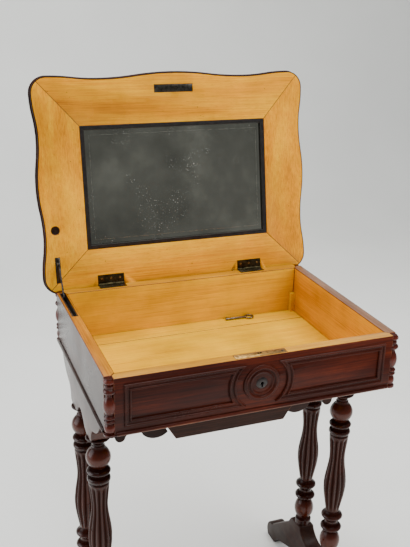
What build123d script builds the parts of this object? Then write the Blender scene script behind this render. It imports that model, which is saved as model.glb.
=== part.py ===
from build123d import *
from math import cos, pi, sin, sqrt
import os

os.makedirs("parts", exist_ok=True)

# Work table: a shallow case with a hinged mirror lid, on two turned trestles, in millimetres.
# X runs along the front, Y to the back and Z up. Pieces are drawn with the case centred on Y = 0
# and the lid shut, and the lid is then swung open, the way the table is kept.

# Case
rim_height = 716.0
case_width = 540.0
case_depth = 398.0
case_height = 104.0
side_wall = 20.0
front_wall = 21.0
back_wall = 24.0
floor_board = 6.0
corner_notch = 13.0
tray_post_side = 10.0
tray_post_height = 42.0
base_bead_height = 7.0
base_bead_depth = 4.0
moulding_fit = 0.1

# Corner balusters
baluster_inset = 8.3
baluster_radius = 11.6

# Front mouldings
moulding_width = 12.0
moulding_height = 4.5
moulding_base = 2.0
moulding_bead = 4.0
frame_side_margin = 29.5
frame_edge_margin = 12.0
roundel_radius = 33.5
roundel_disc_radius = 25.0
roundel_height = 4.5
roundel_sink = 2.0
roundel_gap = 14.5
escutcheon_radius = 10.5
escutcheon_height = 2.0
keyhole_radius = 2.6
keyhole_slot = 2.4
keyhole_drop = 7.5

# Lid
lid_overhang_side = 20.5
lid_overhang_front = 19.0
lid_top_thickness = 12.0
lid_edge_bevel = 3.5
lining_thickness = 8.0
lining_inset = 2.5
lid_corner_radius = 34.5
scallop_side = 7.5
scallop_front = 10.0
lobe_drop = 3.5
scallop_position = 0.535
lid_open_angle = 100.4
lid_gap = 0.4
mirror_width = 395.6
mirror_height = 244.2
mirror_offset = 6.0
slip_width = 8.0
slip_rebate = 4.0
slip_thickness = 4.4
glass_thickness = 2.6
mirror_fit = 0.3

# Hinges
hinge_spread = 306.0
hinge_length = 54.0
leaf_reach = 17.0
leaf_thickness = 1.6
knuckle_radius = 2.6
hinge_pin_radius = 1.2
hinge_standoff = 3.4
running_gap = 0.3
pin_clearance = 0.05

# Lid stay
channel_width = 9.6
channel_length = 120.0
channel_back_margin = 17.0
channel_depth = 13.0
channel_wall = 1.3
channel_inset = 5.2
stay_plate_front = 64.0
stay_plate_back = 12.6
stay_plate_thickness = 2.0
stay_pivot_distance = 51.0
stay_pivot_drop = 4.8
stay_arm_length = 67.0
stay_arm_thickness = 2.4
stay_arm_half_width = 3.6
stay_pin_radius = 1.5

# Lock
lock_plate_length = 94.0
lock_plate_width = 14.0
lock_plate_thickness = 2.0
lock_plate_margin = 3.0
lock_case_margin = 6.0
lock_hole_margin = 13.0
strike_set_back = 2.0
lock_case_length = 64.0
lock_case_height = 58.0
lock_case_wall = 3.0
bolt_height = 8.0
bolt_depth = 4.0
bolt_length = 22.0
bolt_travel = 6.0
strike_length = 82.0
strike_width = 15.0
strike_thickness = 1.5
hook_length = 8.0
hook_depth = 3.6
hook_drop = 14.0
hook_notch = 5.2
lock_fit = 0.4

# Underframe
head_thickness = 36.0
head_drop = 80.0
head_half_length = 154.0
leg_spread_y = 118.8
foot_rise = 133.0
leg_sides = 16
small_sides = 12
round_sides = 40
foot_reach = 203.0
bracket_thickness = 18.0
bracket_drop = 102.0
stretcher_height = 82.0
flute_count = 12
flute_share = 0.1

# Hanging drawer
drawer_depth = 160.0
drawer_bottom_half = 110.0
drawer_slope = 0.62
drawer_height = 102.0
drawer_top_gap = 2.0
drawer_face = 10.0
drawer_side = 8.0
drawer_bottom = 6.0
cleat_width = 10.0
cleat_height = 6.0
runner_flange = 5.7
runner_web = 9.6
bracket_clearance = 5.0

# Key
key_shank_radius = 2.4
key_length = 65.0
key_bow_radius = 10.0
key_bow_band = 3.6
key_bow_thickness = 3.2
key_bit_reach = 9.0
key_bit_length = 8.0
key_bit_thickness = 2.0
key_place = 85.0
key_back_gap = 12.0
key_rest_gap = 0.1

half_width = case_width / 2
half_depth = case_depth / 2
case_bottom = rim_height - case_height
inner_x = half_width - side_wall
inner_front = -half_depth + front_wall
inner_back = half_depth - back_wall
floor_top = case_bottom + floor_board
hinge_y = half_depth + hinge_standoff
hinge_z = rim_height + lid_gap / 2
lid_under = rim_height + lid_gap
channel_x = -half_width + channel_inset
channel_back = half_depth - channel_back_margin
channel_front = channel_back - channel_length
lid_half_x = half_width + lid_overhang_side
lid_half_y = half_depth + lid_overhang_front
front_middle = rim_height - case_height / 2 + 3.0


def prism(outline, low, height):
    """A plan outline raised from a height."""
    return Pos(0, 0, low) * extrude(make_face(Polyline(*outline, close=True)), height)


def block(x0, x1, y0, y1, z0, z1):
    """A squared block between two corners."""
    return prism([(x0, y0), (x1, y0), (x1, y1), (x0, y1)], z0, z1 - z0)


def across_x(outline, low, thickness):
    """A board whose outline is drawn in Y and Z, thick along X."""
    return Pos(low, 0, 0) * extrude(Plane.YZ * make_face(outline), thickness)


def across_y(outline, low, thickness):
    """A board whose outline is drawn in X and Z, thick along Y."""
    return Pos(0, low + thickness, 0) * extrude(Plane.XZ * make_face(outline), thickness)


def rod_x(radius, low, length, y, z):
    """A round rod along X."""
    return Pos(low, y, z) * extrude(Plane.YZ * Circle(radius), length)


def rod_y(radius, low, length, x, z):
    """A round rod along Y."""
    return Pos(x, low + length, z) * extrude(Plane.XZ * Circle(radius), length)


def rod_z(radius, low, length, x, y):
    """A round rod along Z."""
    return Pos(x, y, low) * extrude(Circle(radius), length)


def ring(radius, height, sides, dent=0.0):
    """Corners round an axis at a height, every second one drawn in by a share of the radius."""
    corners = []
    for i in range(sides):
        reach = radius * (1 - dent if i % 2 else 1)
        turn = 2 * pi * (i + 0.5) / sides
        corners.append((reach * cos(turn), reach * sin(turn), height))
    return corners


def banded(rings):
    """A closed solid of flat faces between rings that have the same number of corners."""
    faces = [Face(Wire.make_polygon(rings[0])), Face(Wire.make_polygon(rings[-1]))]
    for upper, lower in zip(rings, rings[1:]):
        for i in range(len(upper)):
            j = (i + 1) % len(upper)
            faces.append(Face(Wire.make_polygon([upper[i], upper[j], lower[j], lower[i]])))
    return Solid(Shell(faces))


def turned(rows, sides):
    """A turning about Z in narrow bands: each row is a radius, a height and the step's swell."""
    points = [rows[0][:2]]
    for before, row in zip(rows, rows[1:]):
        bands = 2 + round(abs(row[2]) / 6) if row[2] else 1
        for i in range(1, bands + 1):
            share = i / bands
            radius = before[0] + (row[0] - before[0]) * share + 4 * row[2] * share * (1 - share)
            points.append((radius, before[1] + (row[1] - before[1]) * share))
    return banded([ring(radius, height, sides) for radius, height in points])


def mirrored_x(part):
    """The same piece on the other side of the table."""
    return mirror(part, Plane.YZ)


def mirrored_y(part):
    """The same piece at the other end, front to back."""
    return mirror(part, Plane.XZ)


def group(solids):
    """Separate solids that share one node."""
    return Compound(children=[s for part in solids for s in part.solids()])


# Hinges: two brass butts whose barrels stand just behind the back of the case
def hinge_parts(centre):
    """Case leaf, lid leaf and pin of one butt hinge, and the pockets that they lie in."""
    x0 = centre - hinge_length / 2
    third = hinge_length / 3
    case_leaf = block(x0, x0 + hinge_length, hinge_y - knuckle_radius - leaf_reach, hinge_y,
                      rim_height - leaf_thickness, rim_height)
    lid_leaf = block(x0, x0 + hinge_length, hinge_y - knuckle_radius - leaf_reach, hinge_y,
                     lid_under, lid_under + leaf_thickness)
    barrel = rod_x(knuckle_radius, x0, hinge_length, hinge_y, hinge_z)
    sweep_room = knuckle_radius + running_gap
    middle_room = rod_x(sweep_room, x0 + third, third, hinge_y, hinge_z)
    side_room = rod_x(sweep_room, x0, third, hinge_y, hinge_z)
    side_room += rod_x(sweep_room, x0 + 2 * third, third, hinge_y, hinge_z)
    side_knuckles = rod_x(knuckle_radius, x0, third - running_gap / 2, hinge_y, hinge_z)
    side_knuckles += rod_x(knuckle_radius, x0 + 2 * third + running_gap / 2, third - running_gap / 2,
                           hinge_y, hinge_z)
    middle_knuckle = rod_x(knuckle_radius, x0 + third + running_gap / 2, third - running_gap,
                           hinge_y, hinge_z)
    bore = rod_x(hinge_pin_radius + pin_clearance, x0 - 1, hinge_length + 2, hinge_y, hinge_z)
    case_leaf = (case_leaf - barrel - middle_room) + side_knuckles - bore
    lid_leaf = (lid_leaf - barrel - side_room) + middle_knuckle - bore
    pin = rod_x(hinge_pin_radius, x0, hinge_length, hinge_y, hinge_z)
    return case_leaf, lid_leaf, pin


hinge_centres = {"left": -hinge_spread / 2 - 1.0, "right": hinge_spread / 2}


# Keyhole: a round hole with a slot below it, through the front along Y
def keyhole(low, length):
    hole = rod_y(keyhole_radius, low, length, 0, front_middle)
    slot = block(-keyhole_slot / 2, keyhole_slot / 2, low, low + length,
                 front_middle - keyhole_drop, front_middle)
    return hole + slot


# Case walls meet on mitres that run into the corner notches
notch_x = half_width - corner_notch
notch_y = half_depth - corner_notch
lock_line = -half_depth + lock_hole_margin
lock_plate_front = -half_depth + lock_plate_margin
lock_back = inner_front
lock_front = -half_depth + lock_case_margin
lock_low = rim_height - lock_plate_thickness - lock_case_height


def lock_plate_blank():
    return block(-lock_plate_length / 2, lock_plate_length / 2, lock_plate_front,
                 lock_plate_front + lock_plate_width, rim_height - lock_plate_thickness, rim_height)


def case_walls():
    front = prism([(-notch_x, -half_depth), (notch_x, -half_depth), (notch_x, -notch_y),
                   (inner_x, inner_front), (-inner_x, inner_front), (-notch_x, -notch_y)],
                  case_bottom, case_height)
    front -= lock_plate_blank()
    front -= block(-lock_case_length / 2, lock_case_length / 2, lock_front, lock_back,
                   lock_low, rim_height - lock_plate_thickness)
    front -= keyhole(-half_depth, lock_front + half_depth)
    back = prism([(-notch_x, notch_y), (-inner_x, inner_back), (inner_x, inner_back),
                  (notch_x, notch_y), (notch_x, half_depth), (-notch_x, half_depth)],
                 case_bottom, case_height)
    for centre in hinge_centres.values():
        back -= block(centre - hinge_length / 2, centre + hinge_length / 2,
                      hinge_y - knuckle_radius - leaf_reach, half_depth,
                      rim_height - leaf_thickness, rim_height)
    left = prism([(-half_width, -notch_y), (-notch_x, -notch_y), (-inner_x, inner_front),
                  (-inner_x, inner_back), (-notch_x, notch_y), (-half_width, notch_y)],
                 case_bottom, case_height)
    right = mirrored_x(left)
    left -= block(channel_x, channel_x + channel_width, channel_front, channel_back,
                  rim_height - channel_depth, rim_height)
    return front, back, left, right


# Base bead: a half round strip planted along the foot of each wall, between the balusters
def base_bead_x(length):
    radius = base_bead_height / 2
    edges = [Line((0, 0), (0, base_bead_height)),
             ThreePointArc((0, base_bead_height), (-base_bead_depth, radius), (0, 0))]
    return across_x(Curve(edges), -length / 2, length)


def base_beads():
    lap = baluster_inset + sqrt(baluster_radius**2 - baluster_inset**2) + moulding_fit
    front = Pos(0, -half_depth, case_bottom) * base_bead_x(case_width - 2 * lap)
    side = Pos(-half_width, 0, case_bottom) * (Rot(0, 0, -90) * base_bead_x(case_depth - 2 * lap))
    return {"front": front, "back": mirrored_y(front), "left": side, "right": mirrored_x(side)}


# Corner baluster: turned, then cut square at the back to sit in the corner notch
def corner_baluster():
    r = baluster_radius
    h = case_height
    rows = [(r * 0.62, h - 1.0, 0), (r * 0.62, h - 11.0, r * 0.24), (r * 0.66, h - 13.0, 0),
            (r * 0.66, h - 19.0, 0), (r * 0.80, h - 19.5, 0), (r * 0.80, h - 28.5, r * 0.20),
            (r * 0.62, h - 29.0, 0), (r * 0.62, h - 35.0, -0.6), (r * 0.60, h - 66.0, r * 0.38),
            (r * 0.80, h - 68.5, 0), (r * 0.80, h - 73.5, r * 0.16), (r * 0.80, h - 79.0, r * 0.16),
            (r * 0.62, h - 81.0, 0), (r * 0.62, h - 100.0, r * 0.28), (r * 0.95, h - 101.0, 0),
            (r * 0.95, 0.0, 0)]
    post = Pos(-half_width + baluster_inset, -half_depth + baluster_inset, case_bottom) * turned(rows, small_sides)
    reach = 3 * baluster_radius
    post -= block(-notch_x, -notch_x + reach, -half_depth, -half_depth + reach, case_bottom, rim_height)
    return post - block(-half_width, -half_width + reach, -notch_y, -notch_y + reach, case_bottom,
                        rim_height)


# Front frames: a two bead moulding round each panel, its inner end struck from the roundel's centre
def frame_outline(margin):
    """The outline of the right hand frame, drawn in by a margin."""
    right = half_width - frame_side_margin - margin
    top = rim_height - frame_edge_margin - margin
    low = case_bottom + frame_edge_margin + base_bead_height / 2 + margin
    radius = roundel_radius + roundel_gap + margin
    up = top - front_middle
    down = front_middle - low
    start = (sqrt(radius**2 - up**2), top)
    end = (sqrt(radius**2 - down**2), low)
    edges = [Line(start, (right, top)), Line((right, top), (right, low)), Line((right, low), end),
             ThreePointArc(end, (radius, front_middle), start)]
    return make_face(edges)


def front_frame():
    def level(outer, inner, height):
        band = frame_outline(outer) - frame_outline(inner)
        return Pos(0, -half_depth, 0) * extrude(Plane.XZ * band, height)

    frame = level(0, moulding_width, moulding_base)
    outer_bead = level(0, moulding_bead, moulding_height)
    inner_bead = level(moulding_width - moulding_bead, moulding_width, moulding_height)
    return frame + outer_bead + inner_bead


def front_turning(rows, sides):
    """Round work on the front, struck about the keyhole: each row is a radius and a height."""
    boss = banded([ring(radius, height, sides) for radius, height in rows])
    return Pos(0, -half_depth, front_middle) * (Rot(90, 0, 0) * boss)


def roundel():
    """A raised ring round a sunk disc, pierced by the keyhole."""
    rim = roundel_radius - roundel_disc_radius
    rows = [(roundel_disc_radius + rim * 0.35, roundel_height),
            (roundel_disc_radius + rim * 0.7, roundel_height),
            (roundel_radius, roundel_height * 0.5), (roundel_radius, 0)]
    disc = [(roundel_disc_radius, roundel_sink), (roundel_disc_radius + rim * 0.35, roundel_height)]
    boss = front_turning(rows, round_sides) - front_turning(disc, round_sides)
    return boss - keyhole(-half_depth - 2 * roundel_height, 2 * roundel_height)


def escutcheon():
    """A small boss round the keyhole, on the roundel's disc."""
    top = roundel_sink + escutcheon_height
    rows = [(escutcheon_radius * 0.65, top), (escutcheon_radius, top - escutcheon_height * 0.7),
            (escutcheon_radius, roundel_sink)]
    boss = front_turning(rows, small_sides * 2)
    return boss - keyhole(-half_depth - 2 * roundel_height, 2 * roundel_height)


# Lock: a brass plate in the rim over a box let in from inside, and a bolt that slides in the box
cavity_low = rim_height - lock_plate_thickness - hook_drop - 1.0
bolt_low = rim_height - lock_plate_thickness - hook_drop + 2.4


def lock_parts():
    plate = lock_plate_blank()
    plate -= block(-hook_length / 2 - lock_fit, hook_length / 2 + lock_fit,
                   lock_line - hook_depth / 2 - lock_fit, lock_line + hook_depth / 2 + lock_fit,
                   rim_height - lock_plate_thickness, rim_height)
    box = block(-lock_case_length / 2, lock_case_length / 2, lock_front, lock_back,
                lock_low, rim_height - lock_plate_thickness)
    room_front = lock_line - bolt_depth / 2 - lock_fit
    room_back = lock_line + bolt_depth / 2 + lock_fit
    box -= block(-lock_case_length / 2 + lock_case_wall, lock_case_length / 2 - lock_case_wall,
                 room_front, room_back, bolt_low - running_gap, rim_height - lock_plate_thickness)
    box -= block(-hook_length / 2 - lock_fit, hook_length / 2 + lock_fit, room_front, room_back,
                 cavity_low, rim_height - lock_plate_thickness)
    box -= keyhole(lock_front, lock_back - lock_front - lock_case_wall)
    tip = -hook_length / 2 - 1.2
    nose_height = hook_notch - 2 * lock_fit - 0.4
    bolt = block(tip - bolt_length, tip - bolt_travel, lock_line - bolt_depth / 2,
                 lock_line + bolt_depth / 2, bolt_low, bolt_low + bolt_height)
    nose_low = bolt_low + 1.0
    bolt += block(tip - bolt_travel, tip, lock_line - bolt_depth / 2, lock_line + bolt_depth / 2,
                  nose_low, nose_low + nose_height)
    return plate, box, bolt, nose_low


def strike_blank():
    middle = lock_line + strike_set_back
    return block(-strike_length / 2, strike_length / 2, middle - strike_width / 2,
                 middle + strike_width / 2, lid_under, lid_under + strike_thickness)


def strike():
    """The plate let into the lid, with the hook that drops into the lock."""
    plate = strike_blank()
    hook_low = lid_under - hook_drop
    hook = block(-hook_length / 2, hook_length / 2, lock_line - hook_depth / 2,
                 lock_line + hook_depth / 2, hook_low, lid_under)
    notch_low = nose_level - lock_fit
    hook -= block(-hook_length / 2, -hook_length / 2 + bolt_travel, lock_line - hook_depth,
                  lock_line + hook_depth, notch_low, notch_low + hook_notch)
    return plate + hook


# Lid outline: each side swells in the middle, hollows, and swells again at a rounded corner
def wave(start, end, along_x):
    """Two equal arcs from crest to hollow, level with the side at both ends."""
    middle = ((start[0] + end[0]) / 2, (start[1] + end[1]) / 2)
    run = (middle[0] - start[0]) if along_x else (middle[1] - start[1])
    rise = (middle[1] - start[1]) if along_x else (middle[0] - start[0])
    radius = (run**2 + rise**2) / (2 * abs(rise))
    half_run = run / 2
    dip = radius - sqrt(radius**2 - half_run**2)
    side = 1 if rise > 0 else -1
    if along_x:
        first = (start[0] + half_run, start[1] + side * dip)
        second = (end[0] - half_run, end[1] - side * dip)
    else:
        first = (start[0] + side * dip, start[1] + half_run)
        second = (end[0] - side * dip, end[1] - half_run)
    return [ThreePointArc(start, first, middle), ThreePointArc(middle, second, end)]


def lid_quarter(inset):
    """The outline from the middle of the front edge to the middle of the right side."""
    x, y = lid_half_x - inset, lid_half_y - inset
    r = lid_corner_radius - inset
    lobe = (x - r, y - lobe_drop)
    hollow = (x * scallop_position, y - scallop_front)
    turn = (x, y - lobe_drop - r)
    waist = (x - scallop_side, turn[1] * scallop_position)
    diagonal = r * (1 - sqrt(0.5))
    edges = wave((0, y), hollow, True) + wave(hollow, lobe, True)
    edges.append(ThreePointArc(lobe, (x - diagonal, lobe[1] - diagonal), turn))
    edges += wave(turn, waist, False) + wave(waist, (x, 0), False)
    return edges


def lid_face(inset):
    quarter = lid_quarter(inset)
    edges = list(quarter)
    edges += [mirror(e, Plane.YZ) for e in quarter]
    edges += [mirror(e, Plane.XZ) for e in quarter]
    edges += [mirror(mirror(e, Plane.YZ), Plane.XZ) for e in quarter]
    return make_face(edges)


def shut_lid_top():
    board = Pos(0, 0, lid_under + lining_thickness) * extrude(lid_face(0), lid_top_thickness)
    top_edges = board.faces().sort_by(Axis.Z)[-1].edges()
    return chamfer(top_edges, lid_edge_bevel)


def mirror_rectangle(margin):
    half_x = mirror_width / 2 - margin
    half_y = mirror_height / 2 - margin
    return [(-half_x, mirror_offset - half_y), (half_x, mirror_offset - half_y),
            (half_x, mirror_offset + half_y), (-half_x, mirror_offset + half_y)]


def shut_lining():
    """Four mitred boards round the mirror, with pockets for the hardware."""
    sheet = Pos(0, 0, lid_under) * extrude(lid_face(lining_inset), lining_thickness)
    sheet -= prism(mirror_rectangle(0), lid_under, lining_thickness)
    for centre in hinge_centres.values():
        sheet -= block(centre - hinge_length / 2, centre + hinge_length / 2,
                      hinge_y - knuckle_radius - leaf_reach, hinge_y + knuckle_radius + 1,
                      lid_under, lid_under + leaf_thickness)
        sheet -= rod_x(knuckle_radius + running_gap, centre - hinge_length / 2, hinge_length,
                      hinge_y, hinge_z)
    sheet -= strike_blank()
    sheet -= stay_plate_blank()
    sheet -= rod_z(8.5, lid_under, 5.0, stay_line, hinge_y - stay_pivot_distance - stay_arm_length)
    inner = mirror_rectangle(0)
    reach = lid_half_x
    corners = [(-reach, -reach), (reach, -reach), (reach, reach), (-reach, reach)]
    outer = []
    for (cx, cy), (dx, dy) in zip(inner, corners):
        run = lid_half_x - lid_corner_radius * 0.4 - abs(cx)
        rise = (lid_half_y - lid_corner_radius * 0.4) - abs(cy)
        outer.append((cx + 2 * run * (1 if dx > 0 else -1), cy + 2 * rise * (1 if dy > 0 else -1)))
    boards = {}
    for name, i, j in (("front", 0, 1), ("right", 1, 2), ("back", 2, 3), ("left", 3, 0)):
        wedge = prism([inner[i], outer[i], outer[j], inner[j]], lid_under - 1, lining_thickness + 2)
        boards[name] = sheet & wedge
    return boards


stay_line = channel_x + channel_width / 2


def stay_plate_blank():
    y_front = hinge_y - stay_plate_front
    y_back = hinge_y - stay_plate_back
    return block(stay_line - channel_width / 2, stay_line + channel_width / 2, y_front, y_back,
                 lid_under, lid_under + stay_plate_thickness)


def shut_stay_bracket():
    """The lid plate of the stay, with its ear and the rivet that the arm turns on."""
    y = hinge_y - stay_pivot_distance
    z = lid_under - stay_pivot_drop
    ear_x = stay_line - stay_arm_thickness - running_gap
    ear = block(ear_x, ear_x + stay_arm_thickness, y - stay_arm_half_width, y + stay_arm_half_width,
                z, lid_under)
    ear += rod_x(stay_arm_half_width, ear_x, stay_arm_thickness, y, z)
    rivet = rod_x(stay_pin_radius, ear_x, 2 * stay_arm_thickness + 2 * running_gap, y, z)
    return stay_plate_blank() + ear + rivet


def swing(part, angle):
    """Turn a lid piece about the hinge pins; a positive angle opens the lid."""
    return part.rotate(Axis((0, hinge_y, hinge_z), (1, 0, 0)), -angle)


def opened_point(distance, drop):
    """Where a point under the shut lid lies once the lid is open, as Y and Z."""
    a = lid_open_angle * pi / 180
    below = hinge_z - (lid_under - drop)
    return (hinge_y - distance * cos(a) - below * sin(a), hinge_z + distance * sin(a) - below * cos(a))


def stay_arm():
    """The arm from the lid's rivet down to its pin in the slotted channel, with the lid open."""
    y0, z0 = opened_point(stay_pivot_distance, stay_pivot_drop)
    z1 = lid_under - stay_pivot_drop
    y1 = y0 - sqrt(stay_arm_length**2 - (z0 - z1) ** 2)
    w = stay_arm_half_width
    nx, nz = (z1 - z0) / stay_arm_length * w, -(y1 - y0) / stay_arm_length * w
    bar = across_x(Polyline((y0 + nx, z0 + nz), (y1 + nx, z1 + nz), (y1 - nx, z1 - nz),
                            (y0 - nx, z0 - nz), close=True), stay_line, stay_arm_thickness)
    bar += rod_x(w, stay_line, stay_arm_thickness, y0, z0)
    bar += rod_x(w, stay_line, stay_arm_thickness, y1, z1)
    bar -= rod_x(stay_pin_radius + pin_clearance, stay_line - 1, stay_arm_thickness + 2, y0, z0)
    bar += rod_x(stay_pin_radius, stay_line - stay_arm_thickness, 2 * stay_arm_thickness, y1, z1)
    return bar


def stay_channel():
    """A slotted iron channel let into the top of the left wall."""
    channel = block(channel_x, channel_x + channel_width, channel_front, channel_back,
                    rim_height - channel_depth, rim_height)
    return channel - block(channel_x + channel_wall, channel_x + channel_width - channel_wall,
                           channel_front + channel_wall, channel_back - channel_wall,
                           rim_height - channel_depth + channel_wall, rim_height)


# Trestles: a thick head board, two turned and fluted legs and a shaped foot on each side
def whole_profile(edges):
    """The edges of the back half of a symmetric profile, with their mirror image at the front."""
    return make_face(edges + [mirror(e, Plane.YZ) for e in edges])


def head():
    """A board on edge under the case, scrolled at both ends and between the two leg seats."""
    top, low = case_bottom, case_bottom - head_drop
    end, seat = head_half_length, leg_spread_y / 2
    shoulder = seat + 35.6
    edges = [Line((0, top), (end, top)),
             ThreePointArc((end, top), (shoulder + 31, low + 46), (shoulder, low + 32)),
             ThreePointArc((shoulder, low + 32), (shoulder - 8.5, low + 23.5), (seat + 23.6, low + 12)),
             ThreePointArc((seat + 23.6, low + 12), (seat + 20.1, low + 3.5), (seat + 11.6, low)),
             Line((seat + 11.6, low), (seat - 13.4, low)),
             ThreePointArc((seat - 13.4, low), (seat - 25.4, low + 4), (seat - 36.4, low + 12.5)),
             ThreePointArc((seat - 36.4, low + 12.5), (seat - 46.9, low + 21.5), (0, low + 25))]
    board = extrude(Plane.YZ * whole_profile(edges), head_thickness)
    return Pos(half_width - head_thickness, 0, 0) * board


leg_top = case_bottom - head_drop
leg_length = leg_top - foot_rise
shaft_top = -97.0
shaft_low = -leg_length + 118.0


def leg():
    """Capital, ball, rings, fluted shaft, two rings, lower ball and base, hung from Z = 0."""
    low = -leg_length
    upper = turned([(21.5, 0, 0), (22.3, -3.5, 0), (11.0, -18, -4.0), (12.5, -66, 10.5),
                    (18.0, -67, 0), (18.0, -78, 4.5), (16.5, -79, 0), (16.5, -83, 0),
                    (21.6, -86, 0), (21.6, -93, 0), (19.0, shaft_top, 0)], leg_sides)
    lower = turned([(14.0, shaft_low, 0), (18.0, shaft_low - 9, 0),
                    (18.0, shaft_low - 20, 4.5), (14.5, shaft_low - 22, 0),
                    (14.5, shaft_low - 35, 0), (18.0, shaft_low - 37, 0),
                    (18.0, shaft_low - 49, 4.5), (13.0, shaft_low - 51, 0),
                    (13.0, low + 14.5, 8.0), (17.8, low + 13, 0), (17.8, low, 0)], leg_sides)
    length = shaft_top - shaft_low
    shape = [(0.0, 20.0), (0.25, 15.6), (0.42, 18.0), (0.58, 22.6), (0.70, 23.1), (0.85, 19.2),
             (1.0, 14.2)]
    shaft = banded([ring(radius, shaft_top - share * length, 2 * flute_count, flute_share)
                    for share, radius in shape])
    return upper + shaft + lower


def foot():
    """A board on edge, with a scrolled toe at each end and a raised pad under each leg."""
    reach, rise, seat = foot_reach, foot_rise, leg_spread_y / 2
    edges = [ThreePointArc((0, rise - 27), (seat - 35.4, rise - 20), (seat - 19.4, rise)),
             Line((seat - 19.4, rise), (seat + 20.6, rise)),
             ThreePointArc((seat + 20.6, rise), (seat + 29.6, rise - 9), (seat + 35.6, rise - 22)),
             Line((seat + 35.6, rise - 22), (reach - 28, 45)),
             ThreePointArc((reach - 28, 45), (reach, 15), (reach - 8, 0)),
             Line((reach - 8, 0), (reach - 43, 0)),
             ThreePointArc((reach - 43, 0), (reach - 52, 14), (reach - 65, 21)),
             ThreePointArc((reach - 65, 21), (reach - 123, 44), (0, rise - 75))]
    board = extrude(Plane.YZ * whole_profile(edges), head_thickness)
    return Pos(half_width - head_thickness, 0, 0) * board


def stretcher():
    """A turned rail between the feet, the same from its middle to either end."""
    end = half_width - head_thickness
    half = turned([(16.5, 0, 0), (14.0, 13, 1.6), (9.5, 15, 0), (9.5, end - 80, 4.5),
                   (13.5, end - 78, 0), (13.5, end - 66, 2.5), (9.5, end - 64, 0),
                   (9.5, end - 20, 3.5), (14.5, end - 18, 0), (14.5, end - 8, 2.0),
                   (11.0, end - 6, 0), (11.0, end, 0)], small_sides)
    rail = half + mirror(half, Plane.XY)
    return Pos(0, 0, stretcher_height) * (Rot(0, 90, 0) * rail)


# Hanging drawer: a trough with sloping sides, hung by cleats on two runners under the case
drawer_top = case_bottom - drawer_top_gap
drawer_low = drawer_top - drawer_height
drawer_front = -drawer_depth / 2


def slope_x(height):
    """Half the drawer's outer width at a height."""
    return drawer_bottom_half + (height - drawer_low) * drawer_slope


def drawer_parts():
    low, top = drawer_low, drawer_top
    back = -drawer_front
    lean = drawer_side * sqrt(1 + drawer_slope**2)
    face = Polyline((-slope_x(low), low), (slope_x(low), low), (slope_x(top), top),
                    (-slope_x(top), top), close=True)
    front = across_y(face, drawer_front, drawer_face)
    rear = across_y(face, back - drawer_face, drawer_face)
    length = drawer_depth - 2 * drawer_face
    side = across_y(Polyline((slope_x(low), low), (slope_x(top), top), (slope_x(top) - lean, top),
                             (slope_x(low) - lean, low), close=True), drawer_front + drawer_face, length)
    floor = across_y(Polyline((-slope_x(low) + lean, low), (slope_x(low) - lean, low),
                              (slope_x(low + drawer_bottom) - lean, low + drawer_bottom),
                              (-slope_x(low + drawer_bottom) + lean, low + drawer_bottom), close=True),
                     drawer_front + drawer_face, length)
    cleat_low = top - cleat_height
    cleat = across_y(Polyline((slope_x(cleat_low), cleat_low), (slope_x(top) + cleat_width, cleat_low),
                              (slope_x(top) + cleat_width, top), (slope_x(top), top), close=True),
                     drawer_front, drawer_depth)
    return front, rear, side, floor, cleat


def runner():
    """An L shaped runner screwed under the case, its flange under the drawer's cleat."""
    flange_top = drawer_top - cleat_height - running_gap
    web_x = slope_x(drawer_top) + cleat_width + running_gap
    flange_x = slope_x(flange_top) + 2.4
    low = flange_top - runner_flange
    outline = Polyline((flange_x, low), (web_x + runner_web, low), (web_x + runner_web, case_bottom),
                       (web_x, case_bottom), (web_x, flange_top), (flange_x, flange_top), close=True)
    return across_y(outline, drawer_front, drawer_depth), web_x + runner_web, low


def bracket():
    """A shaped board from the trestle head in to the drawer, behind each front leg."""
    outer = half_width - head_thickness
    _, runner_x, runner_low = runner()
    low = case_bottom - bracket_drop
    clear_x = runner_x + bracket_clearance
    clear_z = runner_low - running_gap
    tip_z = low + 9.0
    tip_x = slope_x(tip_z) + bracket_clearance
    lobe_x = tip_x + 26.0
    edges = [Line((outer, case_bottom), (clear_x, case_bottom)), Line((clear_x, case_bottom),
             (clear_x, clear_z)), Line((clear_x, clear_z), (slope_x(clear_z) + bracket_clearance, clear_z)),
             Line((slope_x(clear_z) + bracket_clearance, clear_z), (tip_x, tip_z)),
             ThreePointArc((tip_x, tip_z), (lobe_x, low), (lobe_x + 22, low + 11)),
             ThreePointArc((lobe_x + 22, low + 11), (outer - 48, low + 23), (outer - 31, low + 12)),
             ThreePointArc((outer - 31, low + 12), (outer - 21, low + 4), (outer - 12, low + 13)),
             ThreePointArc((outer - 12, low + 13), (outer - 7, low + 21), (outer, low + 24)),
             Line((outer, low + 24), (outer, case_bottom))]
    return across_y(Curve(edges), -leg_spread_y / 2 - bracket_thickness / 2, bracket_thickness)


def key():
    """A barrel key lying in the case, its bow to the right."""
    x0, y, z = key_place, inner_back - key_back_gap, floor_top + key_shank_radius + key_rest_gap
    bow_x = x0 + key_length - key_bow_radius
    shank = rod_x(key_shank_radius, x0, key_length - 2 * key_bow_radius + key_bow_band / 2, y, z)
    bow = rod_z(key_bow_radius, z - key_bow_thickness / 2, key_bow_thickness, bow_x, y)
    bow -= rod_z(key_bow_radius - key_bow_band, z - key_bow_thickness, 2 * key_bow_thickness, bow_x, y)
    bit = block(x0 + 2, x0 + 2 + key_bit_length, y, y + key_bit_reach,
                z - key_bit_thickness / 2, z + key_bit_thickness / 2)
    return shank + bow + bit


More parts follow.
